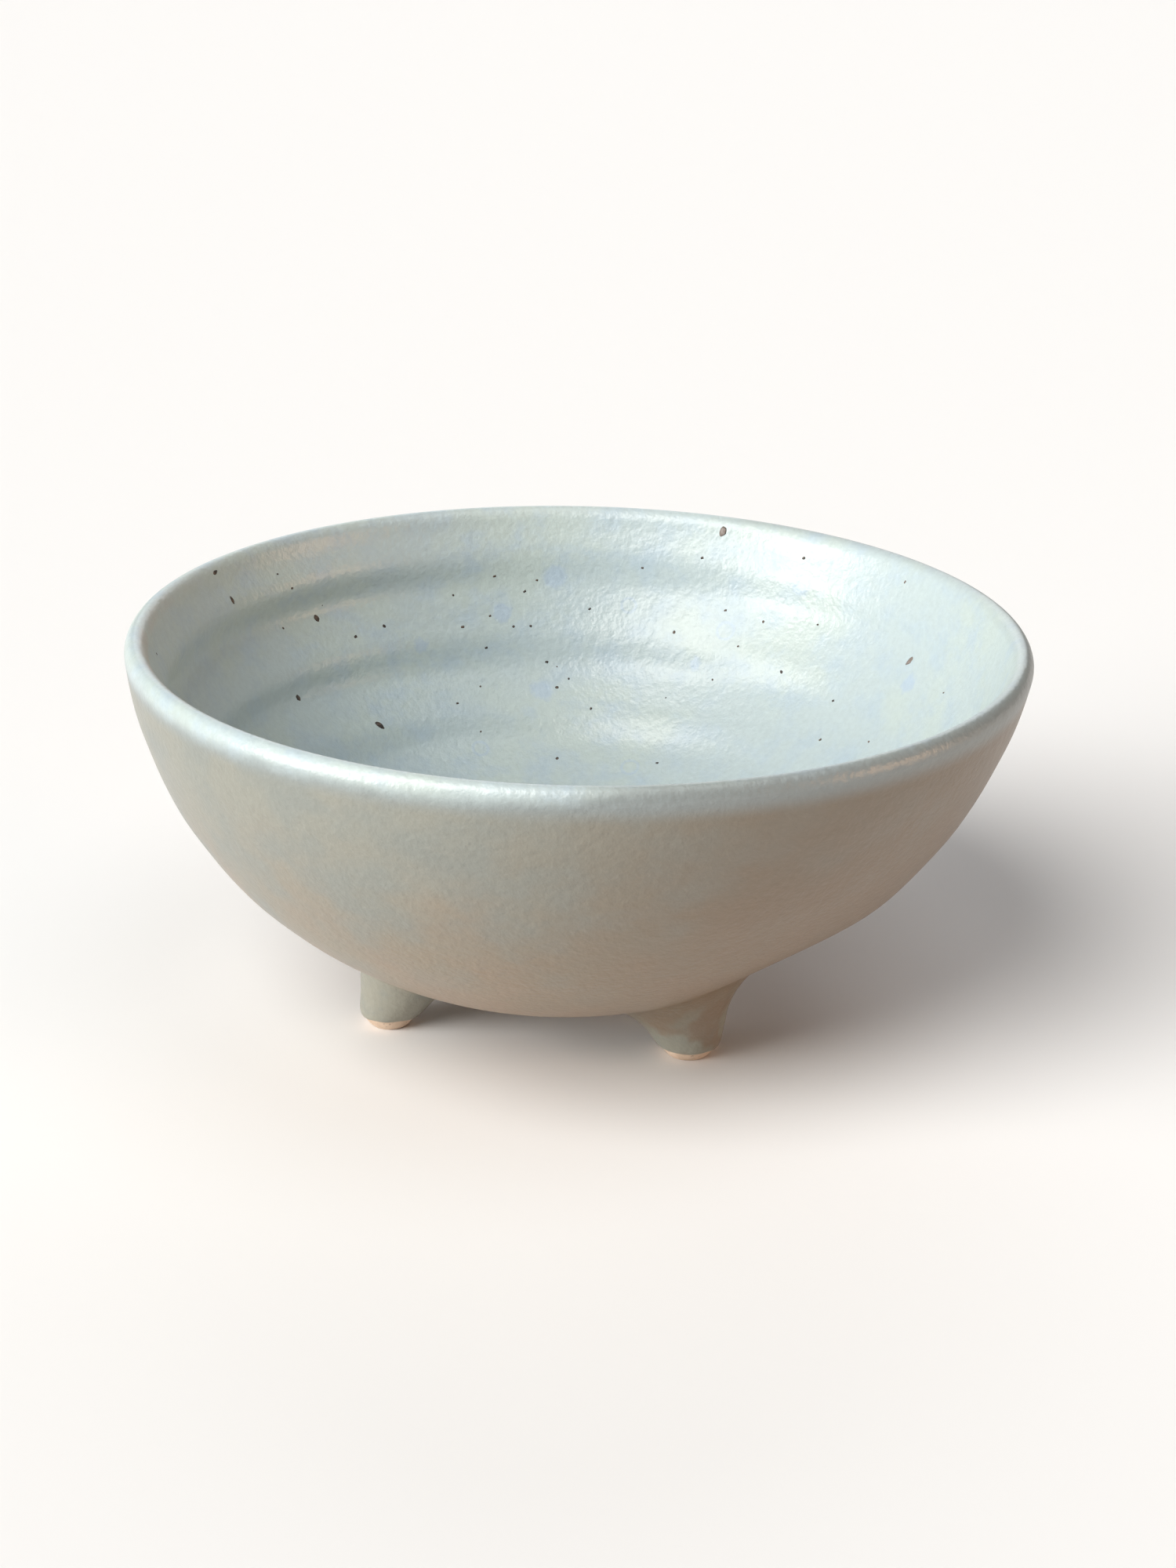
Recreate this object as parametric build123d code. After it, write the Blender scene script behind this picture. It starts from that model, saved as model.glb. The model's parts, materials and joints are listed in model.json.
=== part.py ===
from build123d import *
from math import acos, atan2, cos, degrees, radians, sin, sqrt
import os

# A thrown stoneware bowl on three short conical feet, in the form of a
# molcajete.  The origin is on the table, under the middle of the bowl, and +Z
# is up.  Outlines are drawn as (radius, height) points and turned about Z.

# --- Driving dimensions, in millimetres and degrees --------------------------
rim_radius = 76.0            # outermost radius of the glazed lip
height = 70.5                # from the table to the crest of the lip
bottom_clearance = 6.0       # from the table to the lowest point of the bowl
wall_lean = 8.6              # outward lean that the wall still has at the lip
lip_radius = 2.4             # half the wall's thickness at the lip
floor_thickness = 6.8        # at the middle of the floor, glaze included
glaze = 0.4                  # thickness of the fired glaze
slip = 0.5                   # bed of slip between the bowl and a foot

foot_circle_radius = 30.4    # from the bowl's axis to where a foot stands
foot_tip_radius = 5.1        # the ball that a foot's tip is rounded to
foot_flat = 1.2              # how deep that ball is rubbed flat at the table
foot_flank_angle = 21.0      # between a foot's flank and its axis
fillet_radius = 6.0          # hollow round the top of a foot, over the glaze
coil_edge_angle = 13.0       # at which the worked-in coil meets the clay
seam_margin = 2.0            # from the hollow's edge to the cut in the bowl's skin
bare_height = 1.2            # the glaze is wiped off the feet below this level

foot_azimuths = {"left": 200.7, "front": 320.7, "back": 80.7}

# --- The lip and the two curves of the wall ----------------------------------
up_the_wall = Vector(sin(radians(wall_lean)), cos(radians(wall_lean)))
out_of_wall = Vector(cos(radians(wall_lean)), -sin(radians(wall_lean)))
lip_centre = Vector(rim_radius - lip_radius, height - lip_radius)


class WallCurve:
    """Two tangent arcs from level at the bowl's axis to the lip's lean.

    The first arc is centred on the axis, so its surface is a sphere.
    """

    def __init__(self, pole_height, end):
        pole = Vector(0, pole_height)
        reach = end - pole
        both = Vector(1, 0) + up_the_wall
        k = 1 - up_the_wall.X
        s = reach.dot(both)
        run = (sqrt(s * s + 2 * k * reach.dot(reach)) - s) / (2 * k)
        join = (Vector(run, 0) + reach - up_the_wall * run) / 2
        self.sphere_radius = join.dot(join) / (2 * join.Y)
        self.sphere_centre = pole + Vector(0, self.sphere_radius)
        self.join = pole + join
        back = self.join - end
        side_radius = -back.dot(back) / (2 * back.dot(out_of_wall))
        self.side_centre = end - out_of_wall * side_radius
        self.end = end

    def pole_at(self, offset):
        return self.sphere_centre - Vector(0, self.sphere_radius + offset)

    def end_at(self, offset):
        return self.end + out_of_wall * offset

    def edges(self, offset):
        """The curve moved outward by offset, as two edges."""
        outward = (self.join - self.sphere_centre).normalized()
        join = self.join + outward * offset
        return [
            arc_about(self.sphere_centre, self.pole_at(offset), join),
            arc_about(self.side_centre, join, self.end_at(offset)),
        ]


def arc_about(centre, start, end):
    """The shorter arc about centre from start to end."""
    middle = ((start - centre) + (end - centre)).normalized()
    return ThreePointArc(start, centre + middle * (start - centre).length, end)


def turned(edges):
    """The closed outline of (radius, height) edges, revolved about Z."""
    return revolve(make_face(Plane.XZ * Curve(edges)), Axis.Z)


outside = WallCurve(bottom_clearance, lip_centre + out_of_wall * lip_radius)
inside = WallCurve(bottom_clearance + floor_thickness, lip_centre - out_of_wall * lip_radius)
crest = lip_centre + up_the_wall * lip_radius
clay_crest = crest - up_the_wall * glaze

# --- The bottom sphere that the feet stand on, and one foot's outline --------
# A foot is round about a line from the sphere's centre, so its outline is drawn
# with that centre as (0, 0) and the foot's tip straight below it.
glazed_sphere = outside.sphere_radius
clay_sphere = glazed_sphere - glaze
seat_sphere = clay_sphere + slip
sphere_height = outside.sphere_centre.Y

ball_drop = sphere_height - (foot_tip_radius - foot_flat)
foot_tilt = degrees(atan2(foot_circle_radius, ball_drop))
ball = Vector(0, -sqrt(foot_circle_radius ** 2 + ball_drop ** 2))
tip = ball - Vector(0, foot_tip_radius)
up_the_flank = Vector(sin(radians(foot_flank_angle)), cos(radians(foot_flank_angle)))
out_of_flank = Vector(cos(radians(foot_flank_angle)), -sin(radians(foot_flank_angle)))
flank_foot = ball + out_of_flank * foot_tip_radius
centre = Vector(0, 0)


def climb(start, radius):
    """Where a line up the flank from start comes within radius of the centre."""
    b = start.dot(up_the_flank)
    return start - up_the_flank * (b + sqrt(b * b - start.dot(start) + radius ** 2))


def below(radius, angle):
    """The point at radius from the centre, angle (radians) away from straight down."""
    return Vector(radius * sin(angle), -radius * cos(angle))


seat_edge = climb(flank_foot, seat_sphere)
hollow = climb(flank_foot + out_of_flank * (glaze + fillet_radius), glazed_sphere + fillet_radius)
hollow_angle = atan2(hollow.X, -hollow.Y)
hollow_on_flank = hollow - out_of_flank * fillet_radius
hollow_on_bowl = below(glazed_sphere, hollow_angle)

# The coil's own hollow has the same centre and is a little larger, so that the
# coil ends at an angle and the glaze lies thicker over it.
coil_radius = (fillet_radius + glaze) / cos(radians(coil_edge_angle))
coil_rise = coil_radius * sin(radians(coil_edge_angle))
coil_on_flank = hollow - out_of_flank * (fillet_radius + glaze) + up_the_flank * coil_rise
coil_cosine = (hollow.dot(hollow) + clay_sphere ** 2 - coil_radius ** 2) / (2 * hollow.length * clay_sphere)
coil_on_bowl = below(clay_sphere, hollow_angle - acos(coil_cosine))
skin_cut_angle = hollow_angle + seam_margin / glazed_sphere


def bowl_body():
    """The thrown clay wall, from the floor to the rounded lip."""
    lip = ThreePointArc(outside.end_at(-glaze), clay_crest, inside.end_at(glaze))
    axis = Line(outside.pole_at(-glaze), inside.pole_at(glaze))
    return turned([*outside.edges(-glaze), lip, *inside.edges(glaze), axis])


def glaze_over(wall, clay_side):
    """A coat of glaze on one side of the wall, from the axis to the lip's crest."""
    return turned([
        *wall.edges(0),
        arc_about(lip_centre, wall.end_at(0), crest),
        Line(crest, clay_crest),
        arc_about(lip_centre, wall.end_at(clay_side), clay_crest),
        *wall.edges(clay_side),
        Line(wall.pole_at(0), wall.pole_at(clay_side)),
    ])


def foot():
    """A solid clay cone, hollowed to the bowl's sphere and rounded at the tip."""
    seat = Vector(0, -seat_sphere)
    return turned([
        arc_about(centre, seat, seat_edge),
        Line(seat_edge, flank_foot),
        arc_about(ball, flank_foot, tip),
        Line(tip, seat),
    ])


def luting():
    """The slip bed under the foot's seat and the coil worked in round its top."""
    bed_top = Vector(0, -clay_sphere)
    bed_bottom = Vector(0, -seat_sphere)
    return turned([
        arc_about(centre, bed_top, coil_on_bowl),
        arc_about(hollow, coil_on_bowl, coil_on_flank),
        Line(coil_on_flank, seat_edge),
        arc_about(centre, seat_edge, bed_bottom),
        Line(bed_bottom, bed_top),
    ])


def foot_skin():
    """The glaze over a foot and its coil, out to the cut in the bowl's skin."""
    glazed_tip = tip - Vector(0, glaze)
    glazed_flank_foot = flank_foot + out_of_flank * glaze
    cut_in_clay = below(clay_sphere, skin_cut_angle)
    cut_in_glaze = below(glazed_sphere, skin_cut_angle)
    return turned([
        arc_about(centre, cut_in_clay, coil_on_bowl),
        arc_about(hollow, coil_on_bowl, coil_on_flank),
        Line(coil_on_flank, flank_foot),
        arc_about(ball, flank_foot, tip),
        Line(tip, glazed_tip),
        arc_about(ball, glazed_tip, glazed_flank_foot),
        Line(glazed_flank_foot, hollow_on_flank),
        arc_about(hollow, hollow_on_flank, hollow_on_bowl),
        arc_about(centre, hollow_on_bowl, cut_in_glaze),
        Line(cut_in_glaze, cut_in_clay),
    ])


def skin_cut():
    """A cone from the sphere's centre that takes the bowl's skin off round a foot."""
    far = below(2 * glazed_sphere, skin_cut_angle)
    return turned([Line(centre, far), Line(far, Vector(0, far.Y)), Line(Vector(0, far.Y), centre)])


def under_bowl(shape, azimuth):
    """Tilts a foot's shape outward and sets it under the bowl at its azimuth."""
    return Pos(0, 0, sphere_height) * Rot(0, 0, azimuth) * Rot(0, -foot_tilt, 0) * shape


def above(shape, level):
    """Cuts away what lies below a level."""
    span = 2 * (rim_radius + height)
    return shape - Pos(0, 0, level) * Box(span, span, span, align=(Align.CENTER, Align.CENTER, Align.MAX))


def outer_glaze():
    """One skin over the outside of the bowl, the coils and the feet."""
    skin = glaze_over(outside, -glaze)
    for azimuth in foot_azimuths.values():
        skin -= under_bowl(skin_cut(), azimuth)
    for azimuth in foot_azimuths.values():
        skin += above(under_bowl(foot_skin(), azimuth), bare_height)
    return skin


parts = {
    "bowl_body": bowl_body(),
    "inner_glaze": glaze_over(inside, glaze),
    "outer_glaze": outer_glaze(),
}
for place, azimuth in foot_azimuths.items():
    parts[f"foot_{place}"] = above(under_bowl(foot(), azimuth), 0)
    parts[f"luting_{place}"] = under_bowl(luting(), azimuth)

os.makedirs("parts", exist_ok=True)
for name, part in parts.items():
    export_step(part, f"parts/{name}.step")
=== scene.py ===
# %% [markdown]
# # A speckled stoneware bowl on three feet
#
# The object is a small bowl in the form of a molcajete, the Mexican mortar. It is
# thrown on a wheel in stoneware, stands on three short cones of clay, and carries a
# satin celadon glaze with iron specks. The solid model gives the frame: its size, its
# floor and the three places where it stands. This script gives it its skin.
#
# Everything is in metres, with +Z up and the table at zero.

# %% Load the solid model
import json
from math import acos, atan2, cos, pi, radians, sin, sqrt

import bpy
from mathutils import Matrix, Vector, noise
from mathutils.bvhtree import BVHTree


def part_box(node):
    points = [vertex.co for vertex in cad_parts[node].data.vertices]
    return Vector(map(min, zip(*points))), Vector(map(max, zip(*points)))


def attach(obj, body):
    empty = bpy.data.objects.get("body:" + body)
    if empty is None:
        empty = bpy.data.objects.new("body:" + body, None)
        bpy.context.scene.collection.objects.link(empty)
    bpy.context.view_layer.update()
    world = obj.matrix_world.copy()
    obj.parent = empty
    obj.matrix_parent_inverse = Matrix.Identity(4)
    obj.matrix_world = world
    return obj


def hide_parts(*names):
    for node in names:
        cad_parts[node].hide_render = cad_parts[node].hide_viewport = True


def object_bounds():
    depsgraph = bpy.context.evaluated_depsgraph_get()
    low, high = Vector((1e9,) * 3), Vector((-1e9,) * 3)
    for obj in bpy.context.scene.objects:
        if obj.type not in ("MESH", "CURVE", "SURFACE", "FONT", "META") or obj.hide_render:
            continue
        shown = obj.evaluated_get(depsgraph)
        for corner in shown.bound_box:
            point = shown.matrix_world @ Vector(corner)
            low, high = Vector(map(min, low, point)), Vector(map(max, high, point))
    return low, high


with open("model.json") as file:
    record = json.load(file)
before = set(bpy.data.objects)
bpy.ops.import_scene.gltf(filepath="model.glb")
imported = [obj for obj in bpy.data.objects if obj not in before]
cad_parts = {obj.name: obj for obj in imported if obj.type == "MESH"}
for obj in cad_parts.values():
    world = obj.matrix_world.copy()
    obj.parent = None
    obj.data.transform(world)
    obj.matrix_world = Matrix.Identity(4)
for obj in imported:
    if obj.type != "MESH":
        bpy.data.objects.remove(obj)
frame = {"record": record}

cad_low, cad_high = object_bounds()
MM = 0.001
LUMP_SEED = 5  # the same small lumps on every run
noise.seed_set(LUMP_SEED)
print("solid model", [round(side / MM, 1) for side in cad_high - cad_low], "mm")

# %% [markdown]
# ## The sizes of the wall
#
# The wall of a thrown bowl is one curve turned about an axis. Seen in section this one
# is two tangent arcs: a round floor, part of a sphere, and a side that climbs to the
# lip and still leans outward there. The same rule draws the outside and the inside, so
# the two stay a wall's thickness apart. Only the ends differ, and those come from the
# solid model.

# %% Sizes that the solid model gives, and three that it doesn't name
GLAZE = 0.4 * MM
LIP_RADIUS = 2.4 * MM
WALL_LEAN = radians(8.6)

rim_radius = (cad_high.x - cad_low.x) / 2
height = cad_high.z
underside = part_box("bowl_body")[0].z - GLAZE
floor_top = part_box("inner_glaze")[0].z + GLAZE
mounts = frame["record"]["mounts"]
stands = {mount["name"].removeprefix("rest_"): Vector(mount["pos_m"]) for mount in mounts}
print("underside", round(underside / MM, 2), "floor", round(floor_top / MM, 2), "feet", sorted(stands))


# %% Two tangent arcs from the middle of the floor to the lip
def section_arcs(pole_height, end):
    """(centre, radius, first angle, last angle) of the floor's arc and the side's arc."""
    climb = Vector((sin(WALL_LEAN), cos(WALL_LEAN)))
    reach = end - Vector((0, pole_height))
    spare = 2 * (1 - climb.x)
    along = reach.dot(climb + Vector((1, 0)))
    run = (sqrt(along * along + spare * reach.dot(reach)) - along) / spare
    join = (reach + Vector((run, 0)) - climb * run) / 2
    floor_radius = join.dot(join) / (2 * join.y)
    floor_centre = Vector((0, pole_height + floor_radius))
    join.y += pole_height
    out = Vector((cos(WALL_LEAN), -sin(WALL_LEAN)))
    back = join - end
    side_radius = -back.dot(back) / (2 * back.dot(out))
    turn = atan2(join.y - floor_centre.y, join.x)
    side_centre = end - out * side_radius
    return [(floor_centre, floor_radius, -pi / 2, turn), (side_centre, side_radius, turn, -WALL_LEAN)]


lip_centre = Vector((rim_radius - LIP_RADIUS, height - LIP_RADIUS))
lip_out = Vector((cos(WALL_LEAN), -sin(WALL_LEAN))) * LIP_RADIUS
outside_arcs = section_arcs(underside, lip_centre + lip_out)
inside_arcs = section_arcs(floor_top, lip_centre - lip_out)
sphere_centre, sphere_radius = outside_arcs[0][:2]
print("outside sphere", round(sphere_radius / MM, 1), "mm, centre", round(sphere_centre.y / MM, 1), "mm up")

# %% [markdown]
# ## Small helpers for node trees
#
# A geometry tree and a material are both graphs of nodes. A few helpers keep them
# readable: one makes a node and fills its inputs, from numbers or from other nodes'
# outputs, and the others make the sums that come back often.


# %% Node helpers
def node(tree, kind, inputs=None, **options):
    """A new node. Each input, by name or number, is a value or another node's socket."""
    made = tree.nodes.new(kind)
    for option, value in options.items():
        setattr(made, option, value)
    for key, value in (inputs or {}).items():
        if isinstance(value, bpy.types.NodeSocket):
            tree.links.new(value, made.inputs[key])
        else:
            made.inputs[key].default_value = value
    return made


def calc(tree, operation, *values, **options):
    """The output of one sum: calc(tree, "ADD", a, b)."""
    return node(tree, "ShaderNodeMath", dict(enumerate(values)), operation=operation, **options).outputs[0]


def xyz(tree, x=0.0, y=0.0, z=0.0):
    """Three numbers as one vector."""
    return node(tree, "ShaderNodeCombineXYZ", {"X": x, "Y": y, "Z": z}).outputs[0]


def parts_of(tree, vector):
    """The x, y and z of a vector."""
    return node(tree, "ShaderNodeSeparateXYZ", {0: vector}).outputs


def pair_sum(tree, operation, first, second):
    """A number from two vectors: their DISTANCE or DOT_PRODUCT."""
    return node(tree, "ShaderNodeVectorMath", {0: first, 1: second}, operation=operation).outputs["Value"]


def less_half(tree, value):
    """Noise that runs from 0 to 1, moved so that it swings about zero."""
    return calc(tree, "SUBTRACT", value, 0.5)


def rest_of(tree, share):
    """What is left of 1 after a share."""
    return calc(tree, "SUBTRACT", 1.0, share)


def ramp(tree, value, low, high):
    """0 below low, 1 above high, and a smooth step between."""
    inputs = {"Value": value, "From Min": low, "From Max": high}
    return node(tree, "ShaderNodeMapRange", inputs, interpolation_type="SMOOTHSTEP").outputs["Result"]


# %% A geometry tree with named inputs, and the plain mesh that it makes
def geometry_tree(name, sizes):
    """An empty tree whose group inputs are the named sizes."""
    tree = bpy.data.node_groups.new(name, "GeometryNodeTree")
    tree.interface.new_socket("Geometry", in_out="INPUT", socket_type="NodeSocketGeometry")
    tree.interface.new_socket("Geometry", in_out="OUTPUT", socket_type="NodeSocketGeometry")
    for size, value in sizes.items():
        kind = "NodeSocketInt" if isinstance(value, int) else "NodeSocketFloat"
        tree.interface.new_socket(size, in_out="INPUT", socket_type=kind)
    return tree, node(tree, "NodeGroupInput").outputs


def made_by(tree, name, sizes, start=None):
    """Runs the tree on a start mesh and keeps its result as a plain mesh object."""
    piece = bpy.data.objects.new(name, start or bpy.data.meshes.new(name))
    bpy.context.collection.objects.link(piece)
    modifier = piece.modifiers.new(name, "NODES")
    modifier.node_group = tree
    for socket in tree.interface.items_tree:
        if socket.in_out == "INPUT" and socket.name in sizes:
            modifier[socket.identifier] = sizes[socket.name]
    bpy.context.view_layer.update()
    mesh = bpy.data.meshes.new_from_object(piece.evaluated_get(bpy.context.evaluated_depsgraph_get()))
    piece.modifiers.remove(modifier)
    piece.data = mesh
    mesh.name = name
    print(name, len(mesh.vertices), "points", len(mesh.polygons), "faces")
    return piece


# %% [markdown]
# ## The glaze
#
# A celadon glaze on speckled stoneware is never one colour. It lies thick and
# blue-green inside, where it pools, and runs on over the lip; on the lip's inner edge it
# thins, and a brown line shows; outside it mottles between grey-green and blue, and
# lower down it turns tan, partly where the warm clay shows through and partly as painted
# warm light thrown up from below. On the right of the outside, away from the window, the
# colours are painted darker and browner as shade. Its surface is satin with a fine
# pebbled skin, so highlights break up at their edges. All of it is one material,
# because it is one glaze: the bowl and the feet carry three attributes, "inside",
# "edge" and "foot", that say where a point lies, and the material mixes its colours by
# them. The patterns themselves read Object coordinates, so they run on from one piece
# to the next without a seam.


# %% Material helpers
def cloud(tree, place, size, detail=2.0, roughness=0.5):
    """Soft noise whose patches are about size across."""
    inputs = {"Vector": place, "Scale": 1 / size, "Detail": detail, "Roughness": roughness}
    return node(tree, "ShaderNodeTexNoise", inputs).outputs["Fac"]


def blend(tree, amount, first, second, mode="MIX"):
    """Two colours mixed by an amount."""
    made = node(tree, "ShaderNodeMix", data_type="RGBA", blend_type=mode)
    for key, value in ((0, amount), (6, first), (7, second)):
        if isinstance(value, bpy.types.NodeSocket):
            tree.links.new(value, made.inputs[key])
        else:
            made.inputs[key].default_value = value
    return made.outputs[2]


def shader(name):
    """A material with an empty principled shader, and its Object coordinates."""
    material = bpy.data.materials.new(name)
    material.use_nodes = True
    tree = material.node_tree
    place = node(tree, "ShaderNodeTexCoord").outputs["Object"]
    return material, tree, tree.nodes["Principled BSDF"], place


def where(tree, attribute):
    """How far a point belongs to a named part of the bowl, from 0 to 1."""
    return node(tree, "ShaderNodeAttribute", attribute_name=attribute).outputs["Fac"]


def colour(red, green, blue):
    return (red, green, blue, 1.0)


# %% The colours of the glaze
POOLED = colour(0.445, 0.52, 0.53)
POOLED_GREEN = colour(0.46, 0.53, 0.51)
POOLED_BLUE = colour(0.41, 0.495, 0.545)
GREY_GREEN = colour(0.245, 0.246, 0.21)
# Painted shade: this grey-brown is the outside's grey-green made darker and warmer for its shaded right side.
PAINTED_SHADE_GREY_BROWN = colour(0.187, 0.153, 0.112)
MOTTLE_BLUE = colour(0.20, 0.222, 0.21)
# Partly painted light: the tan is the warm clay through the glaze, made warmer as painted light thrown up
# from below.
TAN = colour(0.262, 0.178, 0.112)
TAN_GREEN = colour(0.235, 0.17, 0.105)
# Painted shade: this is the tan made darker for the outside's shaded right side.
PAINTED_SHADE_TAN = colour(0.19, 0.128, 0.078)
FOOT_GREEN = colour(0.265, 0.26, 0.215)
# Partly painted shade: this brown is laid in patches on the feet, mostly on their right, away from the
# window.
FOOT_BROWN = colour(0.235, 0.185, 0.138)
ROLL_BLUE = colour(0.24, 0.28, 0.29)
EDGE_BROWN = colour(0.55, 0.46, 0.36)
BUBBLE_BLUE = colour(0.37, 0.47, 0.61)
print("glaze colours, inside and out", POOLED[:3], GREY_GREEN[:3], TAN[:3])


# %% Where the marks of burst bubbles are: azimuth, then height and radius in mm
BLOTCHES = [(94, 57.7, 3.0), (95.6, 38.2, 2.6), (103, 51.8, 2.4), (68, 44, 1.6),
            (53, 61, 2.4), (118, 47, 2.0), (24, 52, 2.2), (340, 44, 2.6),
            (288, 55, 2.8), (252, 38, 2.4), (205, 50, 2.4), (160, 30, 2.6)]
RING_MARKS = [(81.5, 53.0, 1.4), (64.0, 50.5, 1.7), (75.0, 27.5, 1.6), (110, 30, 1.5),
              (310, 36, 1.6), (215, 40, 1.5)]
BOWL_LEAN = 0.049  # sideways per height
inside_join = inside_arcs[0][0].y + inside_arcs[0][1] * sin(inside_arcs[0][3])


def on_inner_wall(azimuth, level):
    """The point of the inside's section at a height, turned to an azimuth in degrees."""
    level = level * MM
    centre, radius = inside_arcs[0][:2] if level < inside_join else inside_arcs[1][:2]
    out = centre.x + sqrt(radius ** 2 - (level - centre.y) ** 2)
    turn = radians(azimuth)
    return Vector((out * cos(turn) + BOWL_LEAN * level, out * sin(turn), level))


print("bubble marks", len(BLOTCHES), "rings of bubbles", len(RING_MARKS))


# %% The inside and the lip, where the glaze lies thick
def pooled_glaze(tree, drift, mottle):
    pooled = blend(tree, ramp(tree, drift, 0.42, 0.60), POOLED, POOLED_GREEN)
    return blend(tree, ramp(tree, mottle, 0.42, 0.75), pooled, POOLED_BLUE)


# %% The outside: grey-green above, tan below with painted warm bounce light, and painted shade, darker and browner, away from the window
def outer_glaze(tree, place, drift, mottle, flattened):
    right, _, level = parts_of(tree, place)
    # Partly painted light: the tan where the clay shows through is warmed as painted bounce light from below,
    # and climbs higher on the right, on the painted shade.
    ragged = calc(tree, "MULTIPLY_ADD", right, -0.18, level)
    ragged = calc(tree, "MULTIPLY_ADD", less_half(tree, drift), 26 * MM, ragged)
    ragged = calc(tree, "MULTIPLY_ADD", less_half(tree, mottle), 20 * MM, ragged)
    tan = blend(tree, ramp(tree, drift, 0.4, 0.62), TAN, TAN_GREEN)
    # Painted shade: towards the right, away from the window, the grey-green and the tan are painted darker
    # and browner.
    brown_share = ramp(tree, right, -25 * MM, 45 * MM)
    grey = blend(tree, brown_share, GREY_GREEN, PAINTED_SHADE_GREY_BROWN)
    tan = blend(tree, brown_share, tan, PAINTED_SHADE_TAN)
    outer = blend(tree, ramp(tree, ragged, 15 * MM, 68 * MM), tan, grey)

    # Soft blue patches, fewer towards the foot of the wall and away from the window.
    patches = ramp(tree, cloud(tree, flattened, 11 * MM, detail=3.0, roughness=0.5), 0.42, 0.70)
    blue = calc(tree, "MULTIPLY", patches, ramp(tree, ragged, 18 * MM, 52 * MM))
    blue = calc(tree, "MULTIPLY", blue, calc(tree, "MULTIPLY_ADD", brown_share, -0.4, 0.55))
    outer = blend(tree, blue, outer, MOTTLE_BLUE)

    # The feet, brown in patches that are kept to their right as painted shade, away from the window, and the
    # blue roll of glaze under the lip.
    foot_brown_and_shade = ramp(tree, cloud(tree, place, 6 * MM), 0.42, 0.62)
    foot_brown_and_shade = calc(tree, "MULTIPLY", foot_brown_and_shade, ramp(tree, right, -30 * MM, 20 * MM))
    on_feet = blend(tree, foot_brown_and_shade, FOOT_GREEN, FOOT_BROWN)
    on_feet = blend(tree, ramp(tree, mottle, 0.50, 0.85), on_feet, MOTTLE_BLUE)
    outer = blend(tree, where(tree, "foot"), outer, on_feet)
    roll = calc(tree, "MULTIPLY", ramp(tree, level, 64.5 * MM, 68 * MM), 0.8)
    return blend(tree, roll, outer, ROLL_BLUE)


# %% How far the inside's glaze has run, over the lip or less, and where it is thin
def run_over_lip(tree, place, mottle):
    _, _, level = parts_of(tree, place)
    short = pair_sum(tree, "DOT_PRODUCT", place, (1.0, -0.2, 0))
    short = calc(tree, "MULTIPLY", ramp(tree, short, 5 * MM, 35 * MM), -3.2 * MM)
    over_lip = calc(tree, "MULTIPLY_ADD", less_half(tree, mottle), 3 * MM, level)
    over_lip = ramp(tree, calc(tree, "ADD", over_lip, short), 66 * MM, 70 * MM)
    return calc(tree, "MAXIMUM", where(tree, "inside"), over_lip)


def thin_at_edge(tree, place, mottle):
    thin_side = ramp(tree, pair_sum(tree, "DOT_PRODUCT", place, (-0.35, -0.94, 0)), -20 * MM, 60 * MM)
    brown_share = calc(tree, "MULTIPLY", where(tree, "edge"), thin_side)
    return calc(tree, "MULTIPLY", calc(tree, "MULTIPLY", brown_share, ramp(tree, mottle, 0.3, 0.6)), 0.6)


# %% The marks of burst bubbles: soft patches, and thin rings
def bubble_marks(tree, place, mottle, fine):
    stray = calc(tree, "MULTIPLY", less_half(tree, mottle), 3.6 * MM)
    stray = calc(tree, "MULTIPLY_ADD", less_half(tree, fine), 2.2 * MM, stray)
    bubbles = 0.0
    for azimuth, up, radius in BLOTCHES:
        away = calc(tree, "ADD", pair_sum(tree, "DISTANCE", place, on_inner_wall(azimuth, up)), stray)
        spot = rest_of(tree, ramp(tree, away, radius * 0.45 * MM, radius * MM))
        bubbles = calc(tree, "MAXIMUM", bubbles, spot)
    for azimuth, up, radius in RING_MARKS:
        away = pair_sum(tree, "DISTANCE", place, on_inner_wall(azimuth, up))
        away = calc(tree, "MULTIPLY_ADD", less_half(tree, fine), 0.5 * MM, away)
        rim = calc(tree, "ABSOLUTE", calc(tree, "SUBTRACT", away, radius * MM))
        rim = rest_of(tree, ramp(tree, rim, 0.1 * MM, 0.45 * MM))
        bubbles = calc(tree, "MAXIMUM", bubbles, calc(tree, "MULTIPLY", rim, 0.7))
    return calc(tree, "MULTIPLY", calc(tree, "MULTIPLY", bubbles, where(tree, "inside")), 0.5)


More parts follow.
